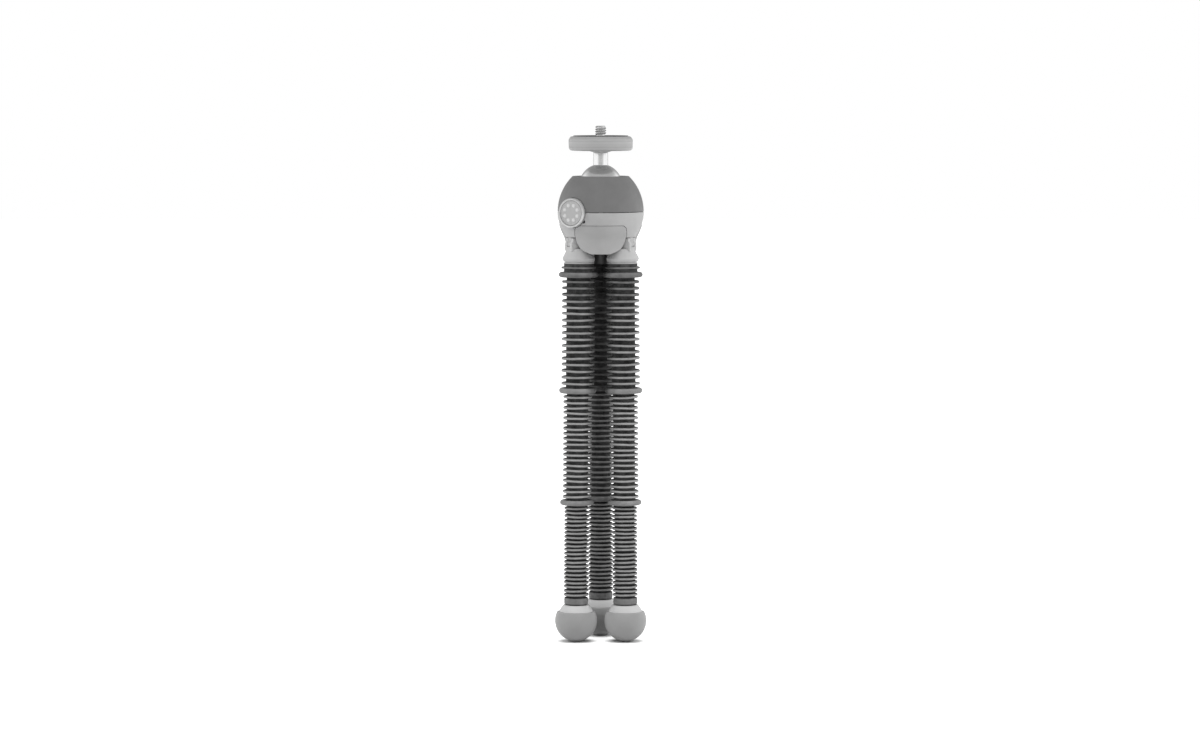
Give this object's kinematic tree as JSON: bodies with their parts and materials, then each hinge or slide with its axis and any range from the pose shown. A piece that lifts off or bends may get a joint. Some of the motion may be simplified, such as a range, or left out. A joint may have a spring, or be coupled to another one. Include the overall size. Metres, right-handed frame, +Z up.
{
  "type": "flexible leg tripod",
  "caption": "Small camera tripod with bendable ribbed rubber legs on hip hinges, round feet, and a knob-clamped ball head with a round screw plate.",
  "frame": {"origin": "on the ground, on the head's axis, in the middle of the circle of feet", "axes": "+Z up along the head and the camera screw, -Y to the front, +X to the right"},
  "size_m": [0.05, 0.0506, 0.2811],
  "materials": {
    "dark_shell": "fine satin texture",
    "light_shell": "satin",
    "frame_plastic": "matt",
    "steel": "turned",
    "liner_plastic": "smooth",
    "ball_metal": "satin ball, polished stem",
    "plate_metal": "turned, fine lines",
    "pad_rubber": "matt",
    "knob_metal": "turned",
    "cap_plastic": "satin",
    "wedge_plastic": "smooth",
    "shoulder_plastic": "satin",
    "link_plastic": "smooth",
    "sleeve_rubber": "matt, worn rib edges",
    "neck_plastic": "satin",
    "foot_rubber": "matt"
  },
  "bodies": {
    "head": {"upper_shell": "dark_shell", "lower_shell": "light_shell", "lobe_cover_front": "light_shell", "lobe_cover_right": "light_shell", "lobe_cover_left": "light_shell", "core_frame": "frame_plastic", "hip_pins": "steel", "shell_screws": "steel", "clamp_cup": "frame_plastic"},
    "seat": {"seat_liner": "liner_plastic"},
    "ball": {"ball_stud": "ball_metal", "camera_screw": "steel"},
    "plate": {"camera_plate": "plate_metal", "plate_pad": "pad_rubber"},
    "knob": {"clamp_knob": "knob_metal", "knob_cap": "cap_plastic", "clamp_screw": "steel"},
    "wedge": {"clamp_wedge": "wedge_plastic"},
    "leg_a_top": {"leg_a_shoulder": "shoulder_plastic"},
    "leg_a_seg_1": {"leg_a_link_1": "link_plastic"},
    "leg_a_seg_2": {"leg_a_link_2": "link_plastic", "leg_a_sleeve_upper": "sleeve_rubber"},
    "leg_a_seg_3": {"leg_a_link_3": "link_plastic"},
    "leg_a_seg_4": {"leg_a_link_4": "link_plastic", "leg_a_sleeve_middle": "sleeve_rubber"},
    "leg_a_seg_5": {"leg_a_link_5": "link_plastic"},
    "leg_a_seg_6": {"leg_a_link_6": "link_plastic", "leg_a_sleeve_lower": "sleeve_rubber"},
    "leg_a_seg_7": {"leg_a_link_7": "link_plastic", "leg_a_foot_core": "neck_plastic", "leg_a_foot_pad": "foot_rubber"},
    "leg_b_top": {"leg_b_shoulder": "shoulder_plastic"},
    "leg_b_seg_1": {"leg_b_link_1": "link_plastic"},
    "leg_b_seg_2": {"leg_b_link_2": "link_plastic", "leg_b_sleeve_upper": "sleeve_rubber"},
    "leg_b_seg_3": {"leg_b_link_3": "link_plastic"},
    "leg_b_seg_4": {"leg_b_link_4": "link_plastic", "leg_b_sleeve_middle": "sleeve_rubber"},
    "leg_b_seg_5": {"leg_b_link_5": "link_plastic"},
    "leg_b_seg_6": {"leg_b_link_6": "link_plastic", "leg_b_sleeve_lower": "sleeve_rubber"},
    "leg_b_seg_7": {"leg_b_link_7": "link_plastic", "leg_b_foot_core": "neck_plastic", "leg_b_foot_pad": "foot_rubber"},
    "leg_c_top": {"leg_c_shoulder": "shoulder_plastic"},
    "leg_c_seg_1": {"leg_c_link_1": "link_plastic"},
    "leg_c_seg_2": {"leg_c_link_2": "link_plastic", "leg_c_sleeve_upper": "sleeve_rubber"},
    "leg_c_seg_3": {"leg_c_link_3": "link_plastic"},
    "leg_c_seg_4": {"leg_c_link_4": "link_plastic", "leg_c_sleeve_middle": "sleeve_rubber"},
    "leg_c_seg_5": {"leg_c_link_5": "link_plastic"},
    "leg_c_seg_6": {"leg_c_link_6": "link_plastic", "leg_c_sleeve_lower": "sleeve_rubber"},
    "leg_c_seg_7": {"leg_c_link_7": "link_plastic", "leg_c_foot_core": "neck_plastic", "leg_c_foot_pad": "foot_rubber"}
  },
  "joints": [
    {"name": "ball_pan", "type": "hinge", "parent": "head", "child": "seat", "pos_m": [0, 0, 0.2487], "axis": [0, 0, 1], "continuous": true},
    {"name": "ball_tilt", "type": "hinge", "parent": "seat", "child": "ball", "pos_m": [0, 0, 0.2487], "axis": [1, 0, 0], "range_deg": [-40, 40]},
    {"name": "plate_turn", "type": "hinge", "parent": "ball", "child": "plate", "pos_m": [0, 0, 0.2676], "axis": [0, 0, 1], "continuous": true},
    {"name": "knob_turn", "type": "hinge", "parent": "head", "child": "knob", "pos_m": [-0.00305, 0.00191, 0.2344], "axis": [-0.5299, -0.848, 0], "range_deg": [0, 270]},
    {"name": "wedge_slide", "type": "slide", "parent": "head", "child": "wedge", "axis": [0.5299, 0.848, 0], "range_m": [0, 0.0016]},
    {"name": "leg_a_hip", "type": "hinge", "parent": "head", "child": "leg_a_top", "pos_m": [-0.01559, -0.009, 0.217], "axis": [-0.5, 0.866, 0], "range_deg": [0, 80]},
    {"name": "leg_a_bend_1", "type": "hinge", "parent": "leg_a_top", "child": "leg_a_seg_1", "pos_m": [-0.01206, -0.00696, 0.19259], "axis": [-0.5, 0.866, 0], "range_deg": [0, 30], "deforming": ["leg_a_sleeve_upper"]},
    {"name": "leg_a_bend_2", "type": "hinge", "parent": "leg_a_seg_1", "child": "leg_a_seg_2", "pos_m": [-0.01226, -0.00708, 0.16759], "axis": [-0.866, -0.5, 0.0092], "range_deg": [-25, 25], "deforming": ["leg_a_sleeve_upper"]},
    {"name": "leg_a_bend_3", "type": "hinge", "parent": "leg_a_seg_2", "child": "leg_a_seg_3", "pos_m": [-0.01246, -0.00719, 0.14258], "axis": [-0.5, 0.866, 0], "range_deg": [0, 30], "deforming": ["leg_a_sleeve_upper"]},
    {"name": "leg_a_bend_4", "type": "hinge", "parent": "leg_a_seg_3", "child": "leg_a_seg_4", "pos_m": [-0.01266, -0.00731, 0.11757], "axis": [-0.866, -0.5, 0.0092], "range_deg": [-25, 25], "deforming": ["leg_a_sleeve_middle"]},
    {"name": "leg_a_bend_5", "type": "hinge", "parent": "leg_a_seg_4", "child": "leg_a_seg_5", "pos_m": [-0.01286, -0.00742, 0.09256], "axis": [-0.5, 0.866, 0], "range_deg": [0, 30], "deforming": ["leg_a_sleeve_middle"]},
    {"name": "leg_a_bend_6", "type": "hinge", "parent": "leg_a_seg_5", "child": "leg_a_seg_6", "pos_m": [-0.01306, -0.00754, 0.06756], "axis": [-0.866, -0.5, 0.0092], "range_deg": [-25, 25], "deforming": ["leg_a_sleeve_lower"]},
    {"name": "leg_a_bend_7", "type": "hinge", "parent": "leg_a_seg_6", "child": "leg_a_seg_7", "pos_m": [-0.01326, -0.00766, 0.04255], "axis": [-0.5, 0.866, 0], "range_deg": [0, 30], "deforming": ["leg_a_sleeve_lower"]},
    {"name": "leg_b_hip", "type": "hinge", "parent": "head", "child": "leg_b_top", "pos_m": [0.01559, -0.009, 0.217], "axis": [-0.5, -0.866, 0], "range_deg": [0, 80]},
    {"name": "leg_b_bend_1", "type": "hinge", "parent": "leg_b_top", "child": "leg_b_seg_1", "pos_m": [0.01206, -0.00696, 0.19259], "axis": [-0.5, -0.866, 0], "range_deg": [0, 30], "deforming": ["leg_b_sleeve_upper"]},
    {"name": "leg_b_bend_2", "type": "hinge", "parent": "leg_b_seg_1", "child": "leg_b_seg_2", "pos_m": [0.01226, -0.00708, 0.16759], "axis": [0.866, -0.5, 0.0092], "range_deg": [-25, 25], "deforming": ["leg_b_sleeve_upper"]},
    {"name": "leg_b_bend_3", "type": "hinge", "parent": "leg_b_seg_2", "child": "leg_b_seg_3", "pos_m": [0.01246, -0.00719, 0.14258], "axis": [-0.5, -0.866, 0], "range_deg": [0, 30], "deforming": ["leg_b_sleeve_upper"]},
    {"name": "leg_b_bend_4", "type": "hinge", "parent": "leg_b_seg_3", "child": "leg_b_seg_4", "pos_m": [0.01266, -0.00731, 0.11757], "axis": [0.866, -0.5, 0.0092], "range_deg": [-25, 25], "deforming": ["leg_b_sleeve_middle"]},
    {"name": "leg_b_bend_5", "type": "hinge", "parent": "leg_b_seg_4", "child": "leg_b_seg_5", "pos_m": [0.01286, -0.00742, 0.09256], "axis": [-0.5, -0.866, 0], "range_deg": [0, 30], "deforming": ["leg_b_sleeve_middle"]},
    {"name": "leg_b_bend_6", "type": "hinge", "parent": "leg_b_seg_5", "child": "leg_b_seg_6", "pos_m": [0.01306, -0.00754, 0.06756], "axis": [0.866, -0.5, 0.0092], "range_deg": [-25, 25], "deforming": ["leg_b_sleeve_lower"]},
    {"name": "leg_b_bend_7", "type": "hinge", "parent": "leg_b_seg_6", "child": "leg_b_seg_7", "pos_m": [0.01326, -0.00766, 0.04255], "axis": [-0.5, -0.866, 0], "range_deg": [0, 30], "deforming": ["leg_b_sleeve_lower"]},
    {"name": "leg_c_hip", "type": "hinge", "parent": "head", "child": "leg_c_top", "pos_m": [0, 0.018, 0.217], "axis": [1, 0, 0], "range_deg": [0, 80]},
    {"name": "leg_c_bend_1", "type": "hinge", "parent": "leg_c_top", "child": "leg_c_seg_1", "pos_m": [0, 0.01393, 0.19259], "axis": [1, 0, 0], "range_deg": [0, 30], "deforming": ["leg_c_sleeve_upper"]},
    {"name": "leg_c_bend_2", "type": "hinge", "parent": "leg_c_seg_1", "child": "leg_c_seg_2", "pos_m": [0, 0.01416, 0.16759], "axis": [0, 1, 0.0092], "range_deg": [-25, 25], "deforming": ["leg_c_sleeve_upper"]},
    {"name": "leg_c_bend_3", "type": "hinge", "parent": "leg_c_seg_2", "child": "leg_c_seg_3", "pos_m": [0, 0.01439, 0.14258], "axis": [1, 0, 0], "range_deg": [0, 30], "deforming": ["leg_c_sleeve_upper"]},
    {"name": "leg_c_bend_4", "type": "hinge", "parent": "leg_c_seg_3", "child": "leg_c_seg_4", "pos_m": [0, 0.01462, 0.11757], "axis": [0, 1, 0.0092], "range_deg": [-25, 25], "deforming": ["leg_c_sleeve_middle"]},
    {"name": "leg_c_bend_5", "type": "hinge", "parent": "leg_c_seg_4", "child": "leg_c_seg_5", "pos_m": [0, 0.01485, 0.09256], "axis": [1, 0, 0], "range_deg": [0, 30], "deforming": ["leg_c_sleeve_middle"]},
    {"name": "leg_c_bend_6", "type": "hinge", "parent": "leg_c_seg_5", "child": "leg_c_seg_6", "pos_m": [0, 0.01508, 0.06756], "axis": [0, 1, 0.0092], "range_deg": [-25, 25], "deforming": ["leg_c_sleeve_lower"]},
    {"name": "leg_c_bend_7", "type": "hinge", "parent": "leg_c_seg_6", "child": "leg_c_seg_7", "pos_m": [0, 0.01531, 0.04255], "axis": [1, 0, 0], "range_deg": [0, 30], "deforming": ["leg_c_sleeve_lower"]}
  ],
  "couplings": [
    {"joint": "wedge_slide", "follows": "knob_turn", "m_per_rad": 0.00031831}
  ]
}
